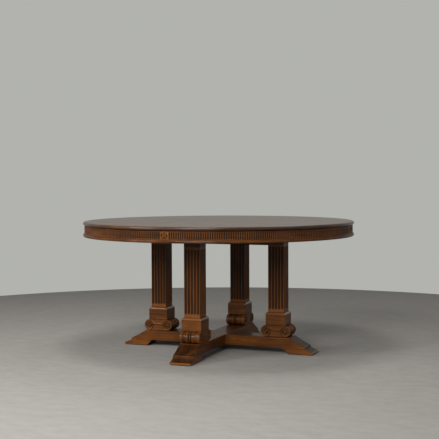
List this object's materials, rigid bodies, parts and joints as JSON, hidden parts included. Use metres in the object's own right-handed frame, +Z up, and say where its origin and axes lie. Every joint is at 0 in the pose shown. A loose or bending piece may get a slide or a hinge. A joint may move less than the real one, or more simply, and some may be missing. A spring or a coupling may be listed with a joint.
{
  "type": "round pedestal table",
  "caption": "Round wooden dining table: fluted apron, square fluted columns on scroll bolsters, and a cross-shaped base with stepped feet.",
  "frame": {"origin": "on the floor under the middle of the round top", "axes": "+Z up; the arms of the base lie along X and Y, front is -Y"},
  "size_m": [1.6, 1.6, 0.765],
  "materials": {
    "top_wood": "satin lacquer over brown stain, fine straight grain",
    "base_wood": "satin lacquer over reddish brown stain",
    "inner_wood": "thin dark stain, unpolished",
    "steel": "zinc plated",
    "felt": "dense dark felt"
  },
  "bodies": {
    "root": {"top_panel": "top_wood", "lipping_right_back": "top_wood", "apron_right_back": "base_wood", "bead_right_back": "base_wood", "lipping_back_left": "top_wood", "apron_back_left": "base_wood", "bead_back_left": "base_wood", "lipping_left_front": "top_wood", "apron_left_front": "base_wood", "bead_left_front": "base_wood", "lipping_front_right": "top_wood", "apron_front_right": "base_wood", "bead_front_right": "base_wood", "bearer_long": "inner_wood", "bearer_cross": "inner_wood", "rail_long": "inner_wood", "rail_cross": "inner_wood", "beam_long": "base_wood", "beam_cross": "base_wood", "rosette_block_right": "base_wood", "column_right": "base_wood", "plinth_right": "base_wood", "scroll_right": "base_wood", "foot_pad_right": "felt", "tie_bolt_right": "steel", "washer_right": "steel", "insert_right": "steel", "bearer_bolt_right": "steel", "top_screw_right": "steel", "rosette_block_back": "base_wood", "column_back": "base_wood", "plinth_back": "base_wood", "scroll_back": "base_wood", "foot_pad_back": "felt", "tie_bolt_back": "steel", "washer_back": "steel", "insert_back": "steel", "bearer_bolt_back": "steel", "top_screw_back": "steel", "rosette_block_left": "base_wood", "column_left": "base_wood", "plinth_left": "base_wood", "scroll_left": "base_wood", "foot_pad_left": "felt", "tie_bolt_left": "steel", "washer_left": "steel", "insert_left": "steel", "bearer_bolt_left": "steel", "top_screw_left": "steel", "rosette_block_front": "base_wood", "column_front": "base_wood", "plinth_front": "base_wood", "scroll_front": "base_wood", "foot_pad_front": "felt", "tie_bolt_front": "steel", "washer_front": "steel", "insert_front": "steel", "bearer_bolt_front": "steel", "top_screw_front": "steel"}
  },
  "joints": []
}
